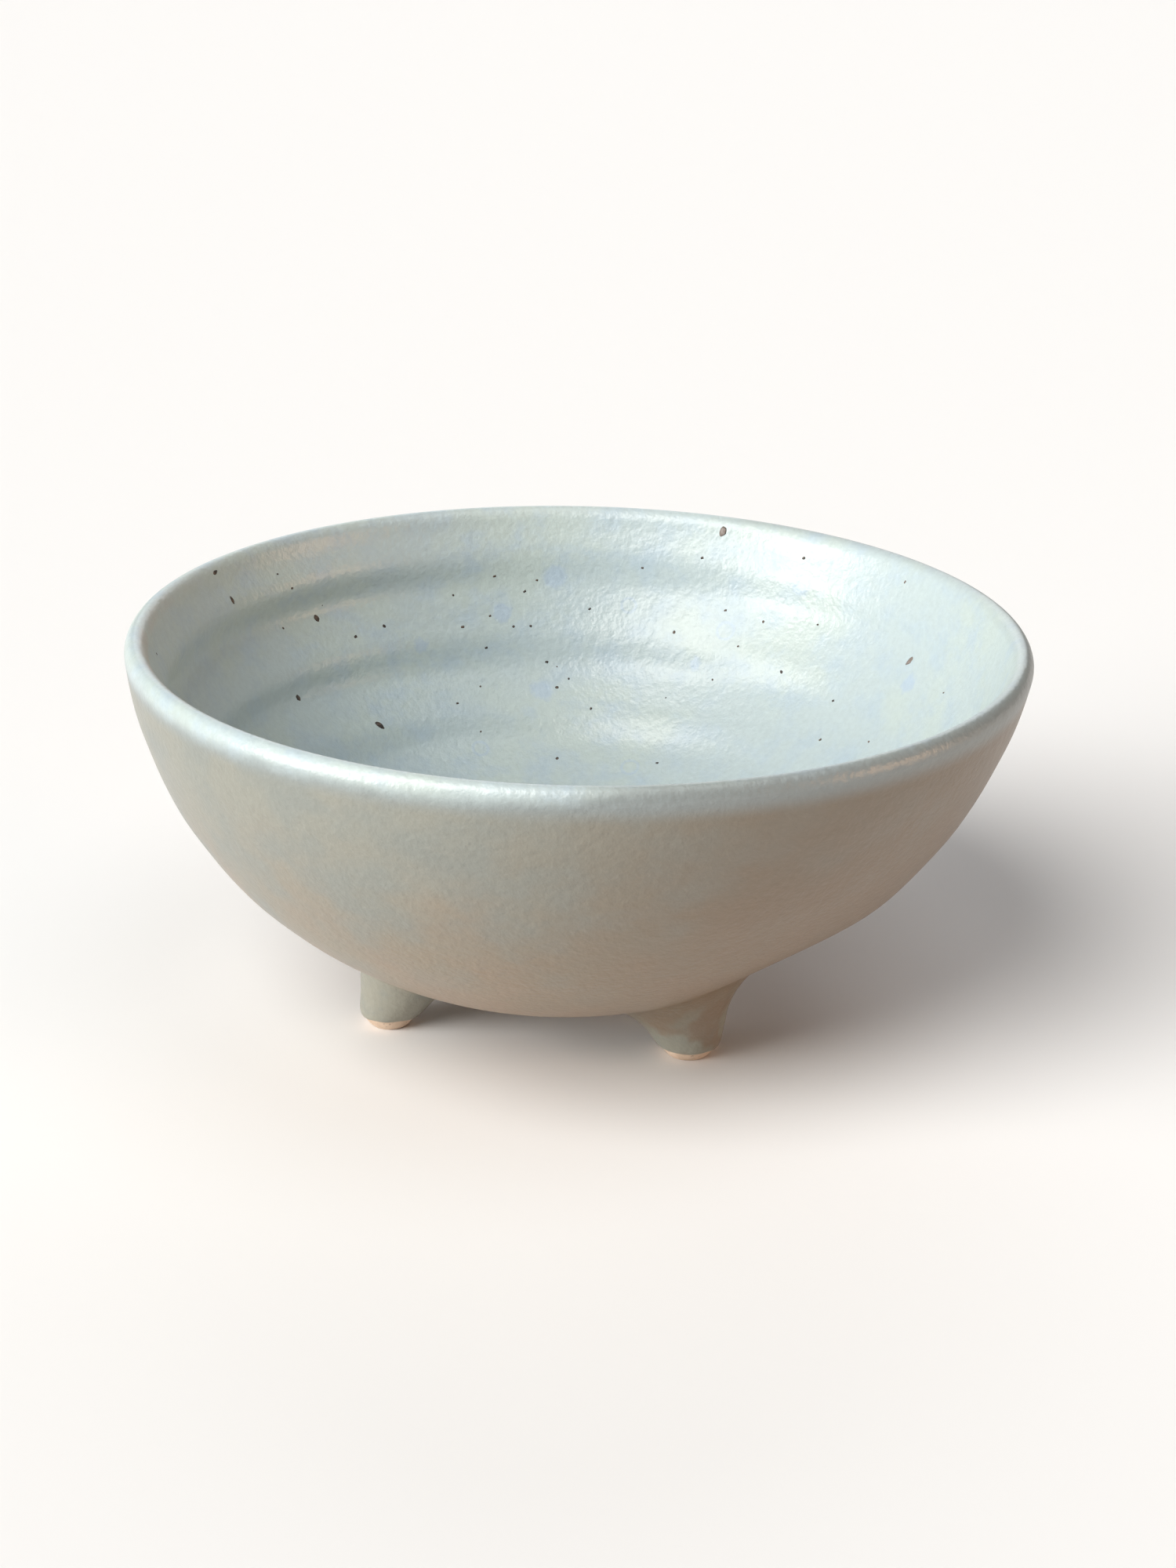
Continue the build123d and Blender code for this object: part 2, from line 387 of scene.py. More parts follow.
# %% The glaze as a material: its colours, its satin gloss and its pebbled skin
def celadon():
    material, tree, surface, place = shader("celadon_glaze")
    drift = cloud(tree, place, 22 * MM, detail=3.0)
    flattened = node(tree, "ShaderNodeMapping", {"Vector": place, "Scale": (1.0, 1.0, 1.2)}).outputs[0]
    mottle = cloud(tree, flattened, 7 * MM, detail=5.0, roughness=0.62)
    fine = cloud(tree, place, 1.1 * MM, detail=3.0, roughness=0.6)

    outer = outer_glaze(tree, place, drift, mottle, flattened)
    glaze = blend(tree, run_over_lip(tree, place, mottle), outer, pooled_glaze(tree, drift, mottle))
    glaze = blend(tree, thin_at_edge(tree, place, mottle), glaze, EDGE_BROWN)
    glaze = blend(tree, bubble_marks(tree, place, mottle, fine), glaze, BUBBLE_BLUE)
    grain = node(tree, "ShaderNodeMapRange", {"Value": fine, "To Min": 0.90, "To Max": 1.10}).outputs[0]
    grain = node(tree, "ShaderNodeCombineColor", {0: grain, 1: grain, 2: grain}).outputs[0]
    glaze = blend(tree, 1.0, glaze, grain, mode="MULTIPLY")
    tree.links.new(glaze, surface.inputs["Base Color"])

    satin = node(tree, "ShaderNodeMapRange", {"Value": mottle, "To Min": 0.29, "To Max": 0.41}).outputs[0]
    tree.links.new(satin, surface.inputs["Roughness"])
    surface.inputs["Specular IOR Level"].default_value = 0.62
    surface.inputs["IOR"].default_value = 1.5
    pebbles = cloud(tree, place, 1.7 * MM)
    skin = calc(tree, "MULTIPLY_ADD", cloud(tree, place, 0.8 * MM), 0.6, pebbles)
    bump = node(tree, "ShaderNodeBump", {"Height": skin, "Distance": 0.30 * MM, "Strength": 0.5})
    tree.links.new(bump.outputs["Normal"], surface.inputs["Normal"])
    return material


glaze_material = celadon()
print(glaze_material.name, len(glaze_material.node_tree.nodes), "nodes")


# %% [markdown]
# ## The bare clay
#
# Where a foot rests, the potter wipes the glaze off, or it would stick to the kiln
# shelf. The bare stoneware fires to a warm peach, dry and slightly sandy, a little
# darker in its pits.


# %% Bare stoneware
PEACH = colour(0.67, 0.52, 0.40)
DEEP_PEACH = colour(0.57, 0.43, 0.32)
CLAY_PIT = colour(0.36, 0.26, 0.19)


def bare_stoneware():
    material, tree, surface, place = shader("bare_stoneware")
    grain = cloud(tree, place, 0.5 * MM, detail=4.0, roughness=0.65)
    patch = cloud(tree, place, 3 * MM, detail=2.0)
    clay = blend(tree, ramp(tree, patch, 0.35, 0.65), PEACH, DEEP_PEACH)
    clay = blend(tree, ramp(tree, grain, 0.58, 0.7), clay, CLAY_PIT)
    tree.links.new(clay, surface.inputs["Base Color"])
    surface.inputs["Roughness"].default_value = 0.88
    bump = node(tree, "ShaderNodeBump", {"Height": grain, "Distance": 0.08 * MM, "Strength": 0.7})
    tree.links.new(bump.outputs["Normal"], surface.inputs["Normal"])
    return material


clay_material = bare_stoneware()
print(clay_material.name, len(clay_material.node_tree.nodes), "nodes")


# %% [markdown]
# ## The iron
#
# Iron in the clay melts up through the glaze and leaves dark, almost metallic specks.
# They are matter of their own, so they are modelled as thin flakes that sit in the
# glaze, nearly black with rusty patches. A few are faded, where the glaze lies over them.


# %% Iron specks
IRON_BLACK = colour(0.035, 0.026, 0.022)
IRON_RUST = colour(0.11, 0.075, 0.055)
FADED_GREY = colour(0.23, 0.19, 0.17)
FADED_BROWN = colour(0.16, 0.12, 0.10)


def iron():
    material, tree, surface, place = shader("iron_specks")
    patch = cloud(tree, place, 0.6 * MM, detail=3.0)
    rust = blend(tree, ramp(tree, patch, 0.42, 0.62), IRON_BLACK, IRON_RUST)
    faded = blend(tree, ramp(tree, patch, 0.35, 0.65), FADED_GREY, FADED_BROWN)
    rust = blend(tree, where(tree, "faded"), rust, faded)
    tree.links.new(rust, surface.inputs["Base Color"])
    surface.inputs["Roughness"].default_value = 0.55
    bump = node(tree, "ShaderNodeBump", {"Height": patch, "Distance": 0.05 * MM, "Strength": 0.6})
    tree.links.new(bump.outputs["Normal"], surface.inputs["Normal"])
    return material


iron_material = iron()
print(iron_material.name, len(iron_material.node_tree.nodes), "nodes")

# %% [markdown]
# ## Throwing the bowl
#
# On the wheel the wall is drawn up between two fingers, and they leave shallow rings
# inside, about a finger wide, deeper on one side of the bowl than on the other. A plain
# turned shape would miss them, and a bump texture would not bend the highlight the way a
# real ring does. So the bowl is made by Geometry Nodes, from a rule: a flat grid is
# wrapped round the axis, each row of the grid takes its radius and height from a point
# on the section's arcs, and the rings push the inside in and out along the section's
# normal. Under the lip the inside flares, so the lip looks thinner than the wall. A bowl
# thrown by hand also leans a little and is never quite round, and beside one foot the
# wall is pressed in, where a thumb smoothed the coil. The same tree sees to all of it.

# %% The stretches of the section, from the underside over the lip to the floor
STRETCHES = {
    "outer floor": (*outside_arcs[0], 44),
    "outer side": (*outside_arcs[1], 44),
    "lip": (lip_centre, LIP_RADIUS, -WALL_LEAN, pi - WALL_LEAN, 20),
    "inner side": (*inside_arcs[1], 80),
    "inner floor": (*inside_arcs[0], 62),
}
REVERSED = ("inner side", "inner floor")
PRESS_DEPTH = 1.6 * MM
PRESS_REACH = 22 * MM
PRESS_PLACE = Vector((36.6 * MM, -32.4 * MM, 21.5 * MM))
bowl_sizes = {
    "Rounds": 300,
    "Press depth": PRESS_DEPTH,
    "Press reach": PRESS_REACH,
    "Press x": PRESS_PLACE.x,
    "Press y": PRESS_PLACE.y,
    "Press z": PRESS_PLACE.z,
    "Ring pitch": 16.3 * MM,
    "Ring depth": 0.36 * MM,
    "Ring turn": 0.514,
    "Deepest at": radians(160),
    "Flare": 1.2 * MM,
    "Flare from": 57 * MM,
    "Outside ring depth": 0.06 * MM,
    "Out of round": 0.25 * MM,
    "Lean": BOWL_LEAN,
    "Height": height,
}
for stretch, (centre, radius, first, last, points) in STRETCHES.items():
    bowl_sizes[f"{stretch} points"] = points
    bowl_sizes[f"{stretch} centre out"] = centre.x
    bowl_sizes[f"{stretch} centre up"] = centre.y
    bowl_sizes[f"{stretch} radius"] = radius
    bowl_sizes[f"{stretch} first angle"] = first
    bowl_sizes[f"{stretch} last angle"] = last
bowl_rows = sum(stretch[-1] for stretch in STRETCHES.values())
print("rows in the section", bowl_rows)


# %% The section as one string of points
def section_curve(tree, size):
    """Every stretch's arc in the (radius, height) plane, joined in order, with its normals."""
    arcs = []
    for stretch in STRETCHES:
        sweep = calc(tree, "SUBTRACT", size[f"{stretch} last angle"], size[f"{stretch} first angle"])
        arc = node(tree, "GeometryNodeCurveArc", {
            "Resolution": size[f"{stretch} points"],
            "Radius": size[f"{stretch} radius"],
            "Start Angle": size[f"{stretch} first angle"],
            "Sweep Angle": sweep,
        }).outputs["Curve"]
        facing = 1.0
        if stretch in REVERSED:
            arc = node(tree, "GeometryNodeReverseCurve", {"Curve": arc}).outputs["Curve"]
            facing = -1.0
        from_centre = node(tree, "GeometryNodeInputPosition").outputs[0]
        from_centre = node(tree, "ShaderNodeVectorMath", {0: from_centre}, operation="NORMALIZE").outputs[0]
        normal = {0: from_centre, "Scale": facing}
        normal = node(tree, "ShaderNodeVectorMath", normal, operation="SCALE").outputs[0]
        arc = node(tree, "GeometryNodeStoreNamedAttribute", {
            "Geometry": arc, "Name": "facing", "Value": normal,
        }, data_type="FLOAT_VECTOR", domain="POINT").outputs[0]
        centre = xyz(tree, size[f"{stretch} centre out"], size[f"{stretch} centre up"])
        arcs.append(node(tree, "GeometryNodeTransform", {0: arc, "Translation": centre}).outputs[0])
    joined = node(tree, "GeometryNodeJoinGeometry")
    for arc in reversed(arcs):
        tree.links.new(arc, joined.inputs[0])
    return joined.outputs[0]


def at_row(tree, curve, value, row):
    """A value of the section's points, read at a row of the grid."""
    inputs = {"Geometry": curve, "Value": value, "Index": row}
    return node(tree, "GeometryNodeSampleIndex", inputs, data_type="FLOAT_VECTOR").outputs["Value"]


# %% How far the potter's fingers move the wall
def finger_marks(tree, size, angle, out, up, inside):
    """The rings inside and the faint turning marks outside, along the normal."""
    floor_centre = size["inner floor centre up"]
    along = calc(tree, "ARCTAN2", out, calc(tree, "SUBTRACT", floor_centre, up))
    along = calc(tree, "MULTIPLY", along, size["inner floor radius"])
    stretched_up = calc(tree, "MULTIPLY", up, 25.0)
    on_ring = xyz(tree, calc(tree, "COSINE", angle), calc(tree, "SINE", angle), stretched_up)
    waver = node(tree, "ShaderNodeTexNoise", {"Vector": on_ring, "Scale": 1.1, "Detail": 2.0}).outputs[0]
    turns = calc(tree, "DIVIDE", along, size["Ring pitch"])
    turns = calc(tree, "ADD", turns, size["Ring turn"])
    turns = calc(tree, "MULTIPLY_ADD", less_half(tree, waver), 0.3, turns)
    phase = calc(tree, "MULTIPLY", turns, 2 * pi)
    groove = calc(tree, "SINE", phase)
    second = calc(tree, "SINE", calc(tree, "MULTIPLY", phase, 2.0))
    groove = calc(tree, "MULTIPLY_ADD", second, 0.22, groove)
    fade = calc(tree, "MULTIPLY_ADD", ramp(tree, out, 44 * MM, 60 * MM), 0.7, 0.3)
    fade = calc(tree, "MULTIPLY", fade, ramp(tree, out, 8 * MM, 24 * MM))
    fade = calc(tree, "MULTIPLY", fade, inside)
    below_lip = rest_of(tree, ramp(tree, up, 65 * MM, 70 * MM))
    fade = calc(tree, "MULTIPLY", fade, below_lip)
    strength = calc(tree, "MULTIPLY", calc(tree, "MULTIPLY_ADD", waver, 1.2, 0.4), size["Ring depth"])
    side = calc(tree, "COSINE", calc(tree, "SUBTRACT", angle, size["Deepest at"]))
    share = calc(tree, "MULTIPLY_ADD", ramp(tree, side, -0.9, 0.0), 0.65, 0.35)
    share = calc(tree, "MULTIPLY_ADD", ramp(tree, side, 0.45, 1.0), 1.6, share)
    strength = calc(tree, "MULTIPLY", strength, share)
    inner = calc(tree, "MULTIPLY", calc(tree, "MULTIPLY", groove, fade), strength)
    outer_fade = calc(tree, "MULTIPLY", ramp(tree, up, 20 * MM, 32 * MM), below_lip)
    outer_fade = calc(tree, "MULTIPLY", outer_fade, rest_of(tree, inside))
    outer = calc(tree, "MULTIPLY", calc(tree, "MULTIPLY", groove, outer_fade), size["Outside ring depth"])
    return calc(tree, "ADD", inner, outer)


# %% The tree that throws the bowl
SEAM_GAP = 0.004 * MM


def thrown_bowl_tree():
    tree, size = geometry_tree("thrown_bowl", bowl_sizes)
    curve = section_curve(tree, size)
    domain = node(tree, "GeometryNodeAttributeDomainSize", {"Geometry": curve}, component="CURVE")
    rows = domain.outputs["Point Count"]
    columns = calc(tree, "ADD", size["Rounds"], 1)
    grid = node(tree, "GeometryNodeMeshGrid", {
        "Size X": 1.0, "Size Y": 1.0, "Vertices X": columns, "Vertices Y": rows,
    }).outputs["Mesh"]

    # The grid's x becomes the angle, and its y the row of the section.
    position = node(tree, "GeometryNodeInputPosition").outputs[0]
    grid_x, grid_y, _ = parts_of(tree, position)
    angle = calc(tree, "MULTIPLY", calc(tree, "ADD", grid_x, 0.5), 2 * pi)
    last_row = calc(tree, "SUBTRACT", rows, 1)
    row = calc(tree, "ROUND", calc(tree, "MULTIPLY", calc(tree, "ADD", grid_y, 0.5), last_row))
    out, up, _ = parts_of(tree, at_row(tree, curve, position, row))
    facing = node(tree, "GeometryNodeInputNamedAttribute", {"Name": "facing"}, data_type="FLOAT_VECTOR")
    facing_out, facing_up, _ = parts_of(tree, at_row(tree, curve, facing.outputs[0], row))
    cosine, sine = calc(tree, "COSINE", angle), calc(tree, "SINE", angle)

    # How far round the lip a row is, which tells the inside from the outside.
    lip_start = calc(tree, "ADD", size["outer floor points"], size["outer side points"])
    past_lip = calc(tree, "DIVIDE", calc(tree, "SUBTRACT", row, lip_start), size["lip points"])
    inside = ramp(tree, past_lip, 0.15, 0.9)
    edge = rest_of(tree, ramp(tree, past_lip, 0.92, 1.10))
    edge = calc(tree, "MULTIPLY", ramp(tree, past_lip, 0.56, 0.74), edge)

    # Marks move the wall along its normal: the rings, and the thumb's press outside.
    marks = finger_marks(tree, size, angle, out, up, inside)
    before = xyz(tree, calc(tree, "MULTIPLY", out, cosine), calc(tree, "MULTIPLY", out, sine), up)
    thumb = xyz(tree, size["Press x"], size["Press y"], size["Press z"])
    pressed = rest_of(tree, ramp(tree, pair_sum(tree, "DISTANCE", before, thumb), 0.0, size["Press reach"]))
    pressed = calc(tree, "MULTIPLY", pressed, rest_of(tree, inside))
    marks = calc(tree, "SUBTRACT", marks, calc(tree, "MULTIPLY", pressed, size["Press depth"]))

    # The rest moves it level: out of round towards the lip, and the flare of the inside.
    oval = calc(tree, "SINE", calc(tree, "MULTIPLY_ADD", angle, 2.0, 0.7))
    three_way = calc(tree, "SINE", calc(tree, "MULTIPLY_ADD", angle, 3.0, 2.0))
    oval = calc(tree, "MULTIPLY_ADD", three_way, 0.5, oval)
    climb = calc(tree, "POWER", calc(tree, "DIVIDE", up, size["Height"]), 3.0)
    oval = calc(tree, "MULTIPLY", calc(tree, "MULTIPLY", oval, size["Out of round"]), climb)
    near_lip = {"Value": up, "From Min": size["Flare from"], "From Max": size["Height"]}
    near_lip = node(tree, "ShaderNodeMapRange", near_lip).outputs["Result"]
    flare = calc(tree, "MULTIPLY", calc(tree, "POWER", near_lip, 2.0), size["Flare"])
    level_shift = calc(tree, "MULTIPLY_ADD", flare, inside, oval)

    # Turned about the axis and leaned over. The poles stay on the axis.
    shifted_out = calc(tree, "MULTIPLY_ADD", facing_out, marks, calc(tree, "ADD", out, level_shift))
    shifted_out = calc(tree, "MULTIPLY", shifted_out, calc(tree, "GREATER_THAN", out, 0.001 * MM))
    shifted_up = calc(tree, "MULTIPLY_ADD", facing_up, marks, up)
    leaned_x = calc(tree, "MULTIPLY", shifted_up, size["Lean"])
    leaned_x = calc(tree, "MULTIPLY_ADD", shifted_out, cosine, leaned_x)
    wall_point = xyz(tree, leaned_x, calc(tree, "MULTIPLY", shifted_out, sine), shifted_up)

    shape = grid
    for name, value in (("inside", inside), ("edge", edge)):
        shape = node(tree, "GeometryNodeStoreNamedAttribute", {
            "Geometry": shape, "Name": name, "Value": value,
        }, data_type="FLOAT", domain="POINT").outputs[0]
    shape = node(tree, "GeometryNodeSetPosition", {"Geometry": shape, "Position": wall_point}).outputs[0]
    shape = node(tree, "GeometryNodeMergeByDistance", {0: shape, "Distance": SEAM_GAP}).outputs[0]
    shape = node(tree, "GeometryNodeSetShadeSmooth", {0: shape}).outputs[0]
    shape = node(tree, "GeometryNodeRealizeInstances", {0: shape}).outputs[0]
    shape = node(tree, "GeometryNodeSetMaterial", {0: shape, "Material": glaze_material}).outputs[0]
    node(tree, "NodeGroupOutput", {0: shape})
    return tree


bowl = made_by(thrown_bowl_tree(), "thrown_bowl", bowl_sizes)
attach(bowl, "root")
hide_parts("bowl_body", "inner_glaze", "outer_glaze")

# %% [markdown]
# ## Iron specks
#
# The specks are strewn by chance, thickly in some places and thinly in others, which is
# work for Geometry Nodes: points are scattered over the inside of the bowl with a fixed
# seed, more of them where a soft noise is high, and each carries a small flake, turned
# and sized at random and laid flat on the glaze. The flecks that catch the eye are
# placed one by one, from a list of azimuth, height, length, width and turn.


# %% A flake of iron
def flake(length, width, thickness, corners, wobble):
    """Points and faces of a thin irregular lens about the origin, its flat way in XY."""
    outline = []
    for step in range(corners):
        around = 2 * pi * step / corners
        chance = Vector((3 * cos(around), 3 * sin(around), 40 * wobble + 900 * length))
        reach = 1 + wobble * noise.noise(chance)
        outline.append(Vector((cos(around) * reach * length / 2, sin(around) * reach * width / 2, 0)))
    points = [Vector((0, 0, thickness))] + [p * 0.6 + Vector((0, 0, thickness * 0.75)) for p in outline]
    points += outline + [Vector((0, 0, -thickness))]
    faces, inner, outer, last = [], 1, 1 + corners, 1 + 2 * corners
    for step in range(corners):
        beside = (step + 1) % corners
        faces.append((0, inner + step, inner + beside))
        faces.append((inner + step, outer + step, outer + beside, inner + beside))
        faces.append((last, outer + beside, outer + step))
    return points, faces


def new_piece(name, points, faces, material):
    """A plain mesh object in its place."""
    mesh = bpy.data.meshes.new(name)
    mesh.from_pydata(points, [], faces)
    mesh.validate()
    mesh.shade_smooth()
    mesh.materials.append(material)
    piece = bpy.data.objects.new(name, mesh)
    bpy.context.collection.objects.link(piece)
    return piece


# %% Flecks placed one by one: azimuth, height, length, width in mm, turn
FLECKS = [
    (136, 55, 2.0, 1.1, 105), (145, 43, 2.7, 0.9, 112), (131, 36, 2.1, 1.1, 125),
    (156, 69.0, 1.5, 0.7, 10), (154.5, 63.7, 1.6, 0.7, 100), (130, 50.6, 0.82, 0.66, 30),
    (104, 58, 0.74, 0.49, 20), (97, 57, 0.57, 0.49, 0), (99, 55, 0.74, 0.49, 40),
    (111, 55, 0.49, 0.49, 0), (105, 51, 0.57, 0.49, 30), (110, 49.5, 0.82, 0.57, 10),
    (101, 49, 0.57, 0.57, 60), (98, 49, 0.57, 0.57, 0), (106, 45.5, 0.66, 0.49, 20),
    (95, 42.6, 0.74, 0.57, 0), (113, 37, 0.66, 0.49, 15), (141, 62, 0.66, 0.49, 0),
    (143, 65, 0.49, 0.41, 0), (70.5, 63, 0.66, 0.57, 30), (65, 54, 0.66, 0.49, 30),
    (88, 52, 0.66, 0.49, 45), (80, 60, 0.57, 0.49, 0), (48, 55, 0.57, 0.41, 20),
    (38.5, 44, 0.66, 0.49, 40), (36, 38, 0.74, 0.57, 60), (14, 54, 0.66, 0.33, 30),
    (86, 35.5, 0.66, 0.49, 80), (69, 28.5, 0.66, 0.49, 20), (251, 52, 2.2, 1.2, 70),
    (282, 33, 1.8, 1.0, 20), (305, 61, 1.5, 0.8, 100), (200, 40, 2.0, 1.0, 40),
    (228, 24, 1.4, 1.0, 0), (335, 47, 1.7, 0.9, 120), (20, 22, 1.5, 1.1, 45),
    (120, 20, 1.7, 0.9, 15), (262, 14.5, 1.9, 1.1, 80), (170, 15, 1.4, 0.9, 60),
]
FADED_FLECKS = [
    (68, 68, 2.2, 1.4, 75), (26.5, 55, 2.3, 1.0, 62), (34, 67, 0.74, 0.49, 70), (25, 41, 0.57, 0.49, 0),
]


def laid_on_wall(azimuth, level, turn, points):
    """Points moved from the origin to the inner wall, flat against it."""
    out = Vector((cos(radians(azimuth)), sin(radians(azimuth)), 0))
    start = Vector((BOWL_LEAN * level * MM, 0, level * MM))
    spot, normal, _, _ = bowl_tree.ray_cast(start, out)
    side = normal.cross(Vector((0, 0, 1))).normalized()
    frame_turn = Matrix((side, normal.cross(side), normal)).transposed().to_4x4()
    place = Matrix.Translation(spot) @ frame_turn @ Matrix.Rotation(radians(turn), 4, "Z")
    return [place @ point for point in points]


FLECK_THICKNESS = 0.07 * MM
bowl_points = [vertex.co for vertex in bowl.data.vertices]
bowl_tree = BVHTree.FromPolygons(bowl_points, [face.vertices for face in bowl.data.polygons])
points, faces, faded = [], [], []
for share, group in ((0.0, FLECKS), (1.0, FADED_FLECKS)):
    for azimuth, level, length, width, turn in group:
        shape, skin = flake(length * MM, width * MM, FLECK_THICKNESS, 12, 0.45)
        faces += [[corner + len(points) for corner in face] for face in skin]
        points += laid_on_wall(azimuth, level, turn, shape)
        faded += [share] * len(shape)
flecks = new_piece("iron_flecks", points, faces, iron_material)
flecks.data.attributes.new("faded", "FLOAT", "POINT").data.foreach_set("value", faded)
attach(flecks, "root")
print("iron flecks placed", len(FLECKS) + len(FADED_FLECKS))

# %% The tree that strews the specks
speck_sizes = {
    "Specks per square metre": 5500.0,
    "Smallest": 0.6,
    "Largest": 1.6,
    "Seed": 11,
}


def speck_tree(flake_object):
    tree, size = geometry_tree("iron_specks", speck_sizes)
    inside = node(tree, "GeometryNodeInputNamedAttribute", {"Name": "inside"}, data_type="FLOAT").outputs[0]
    place = node(tree, "GeometryNodeInputPosition").outputs[0]
    thick = cloud(tree, place, 45 * MM, detail=1.0)
    thick = calc(tree, "MULTIPLY", ramp(tree, thick, 0.42, 0.66), calc(tree, "GREATER_THAN", inside, 0.99))
    density = calc(tree, "MULTIPLY", thick, size["Specks per square metre"])
    strewn = node(tree, "GeometryNodeDistributePointsOnFaces", {
        "Mesh": size["Geometry"], "Density": density, "Seed": size["Seed"],
    }, distribute_method="RANDOM")
    spin = node(tree, "FunctionNodeRandomValue", {"Max": 2 * pi, "Seed": size["Seed"]}, data_type="FLOAT")
    twist = xyz(tree, z=spin.outputs[1])
    turned = node(tree, "FunctionNodeRotateRotation", {
        "Rotation": strewn.outputs["Rotation"],
        "Rotate By": node(tree, "FunctionNodeEulerToRotation", {0: twist}).outputs[0],
    }, rotation_space="LOCAL")
    grow = node(tree, "FunctionNodeRandomValue", {
        2: size["Smallest"], 3: size["Largest"], "Seed": calc(tree, "ADD", size["Seed"], 1),
    }, data_type="FLOAT")
    placed = node(tree, "GeometryNodeInstanceOnPoints", {
        "Points": strewn.outputs["Points"],
        "Instance": node(tree, "GeometryNodeObjectInfo", {"Object": flake_object}).outputs["Geometry"],
        "Rotation": turned.outputs[0],
        "Scale": grow.outputs[1],
    })
    shape = node(tree, "GeometryNodeRealizeInstances", {0: placed.outputs[0]}).outputs[0]
    shape = node(tree, "GeometryNodeSetMaterial", {0: shape, "Material": iron_material}).outputs[0]
    node(tree, "NodeGroupOutput", {0: shape})
    return tree


pattern = new_piece("speck_pattern", *flake(0.48 * MM, 0.38 * MM, 0.04 * MM, 8, 0.5), iron_material)
specks = made_by(speck_tree(pattern), "iron_specks", speck_sizes, bowl.data.copy())
bpy.data.objects.remove(pattern)
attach(specks, "root")

# %% [markdown]
# ## The feet
#
# Each foot is a cone of clay pressed on with slip, with a coil smoothed round its top.
# Its axis runs from the centre of the bowl's sphere to where it stands, so it splays
# outward. The glaze runs down over it and stops at a nearly level line just above the
# table, and the bare tip stands below. A cone turned about its axis can't have a level
# glaze line, because the axis is tilted. So the feet are made by plain mesh code
# instead: rings of points about the axis, where the last rings stop at a level and not
# at a distance. Two pieces share the rule, the clay and its coat. The coat spreads at its
# top into a skirt that sinks into the bowl, so the two look like one glaze.

# %% The sizes of a foot
TIP_RADIUS = 5.1 * MM
TIP_FLAT = 1.2 * MM
PLUMPNESS = {"left": -0.15 * MM, "front": 0.1 * MM, "back": 0.1 * MM}
FLANK_ANGLES = {"left": radians(21), "front": radians(23), "back": radians(21)}
HOLLOW_RADII = {"left": 5.5 * MM, "front": 13.0 * MM, "back": 7.0 * MM}
BARE_HEIGHTS = {"left": 2.3 * MM, "front": 2.0 * MM, "back": 2.1 * MM}
BARE_WAVER = 0.3 * MM
AROUND = 96
print("a foot's tip is", round(TIP_RADIUS / MM, 1), "mm in radius, rubbed flat by", round(TIP_FLAT / MM, 1))


# %% A foot's own frame
class Foot:
    """Places points by distance down a tilted axis, distance out from it, and angle."""

    def __init__(self, name):
        self.stand = stands[name]
        azimuth = atan2(self.stand.y, self.stand.x)
        out = Vector((cos(azimuth), sin(azimuth), 0))
        self.top = Vector((0, 0, sphere_centre.y))
        self.ball = self.stand + Vector((0, 0, TIP_RADIUS - TIP_FLAT))
        self.down = (self.ball - self.top).normalized()
        tilt = atan2(self.down.dot(out), -self.down.z)
        self.outward = out * cos(tilt) + Vector((0, 0, sin(tilt)))
        self.sideways = Vector((-sin(azimuth), cos(azimuth), 0))
        self.ball_depth = (self.ball - self.top).length
        self.radius = TIP_RADIUS + PLUMPNESS[name]
        self.hollow = HOLLOW_RADII[name]
        self.flank_angle = FLANK_ANGLES[name]
        self.bare_height = BARE_HEIGHTS[name]

    def ring(self, out, depth):
        """A ring of points about the axis, round the whole foot."""
        return [self.top + self.down * depth + self.spoke(step) * out for step in range(AROUND)]

    def spoke(self, step):
        around = 2 * pi * step / AROUND
        return self.outward * cos(around) + self.sideways * sin(around)

    def profile(self, spoke, radius, run):
        """A point run metres below the end of the flank, or above it, on the skin."""
        if run > 0:
            turn = pi / 2 - self.flank_angle - run / radius
            return self.ball + (self.down * cos(turn) + spoke * sin(turn)) * radius
        side = self.ball + (self.down * sin(self.flank_angle) + spoke * cos(self.flank_angle)) * radius
        return side + (self.down * cos(self.flank_angle) - spoke * sin(self.flank_angle)) * run

    def run_to(self, spoke, radius, level):
        """How far below the end of the flank the skin comes to a level."""
        q = (self.ball.z - level) / radius
        a, b = -self.down.z, spoke.z
        turn = acos(min(1.0, q / sqrt(a * a + b * b))) - atan2(b, a)
        run = (pi / 2 - self.flank_angle - turn) * radius
        if run > 0:
            return run
        end = self.profile(spoke, radius, 0)
        return (level - end.z) / (self.down.z * cos(self.flank_angle) - spoke.z * sin(self.flank_angle))

    def skin_ring(self, radius, top, level, share, waver=0.0):
        """A ring share of the way down the skin, from a run above the flank's end to a level."""
        ring = []
        for step in range(AROUND):
            spoke = self.spoke(step)
            wave = noise.noise(spoke * 1.5 + self.stand / (10 * MM))
            bottom = self.run_to(spoke, radius, level + wave * waver)
            ring.append(self.profile(spoke, radius, top + (bottom - top) * share))
        return ring


def spread(first, last, count):
    """Evenly spaced values from first to last, both included."""
    return [first + (last - first) * step / (count - 1) for step in range(count)]


def flank(foot, coat):
    """As (out, depth): the flank's end at the ball, its end at the hollow, and the hollow's centre."""
    slope_out = Vector((cos(foot.flank_angle), sin(foot.flank_angle)))
    climb = Vector((sin(foot.flank_angle), -cos(foot.flank_angle)))
    start = Vector((0, foot.ball_depth)) + slope_out * (foot.radius + coat)
    centre_start = start + slope_out * foot.hollow
    reach = sphere_radius + foot.hollow
    b = centre_start.dot(climb)
    centre = centre_start - climb * (b + sqrt(b * b - centre_start.dot(centre_start) + reach * reach))
    return start, centre - slope_out * foot.hollow, centre


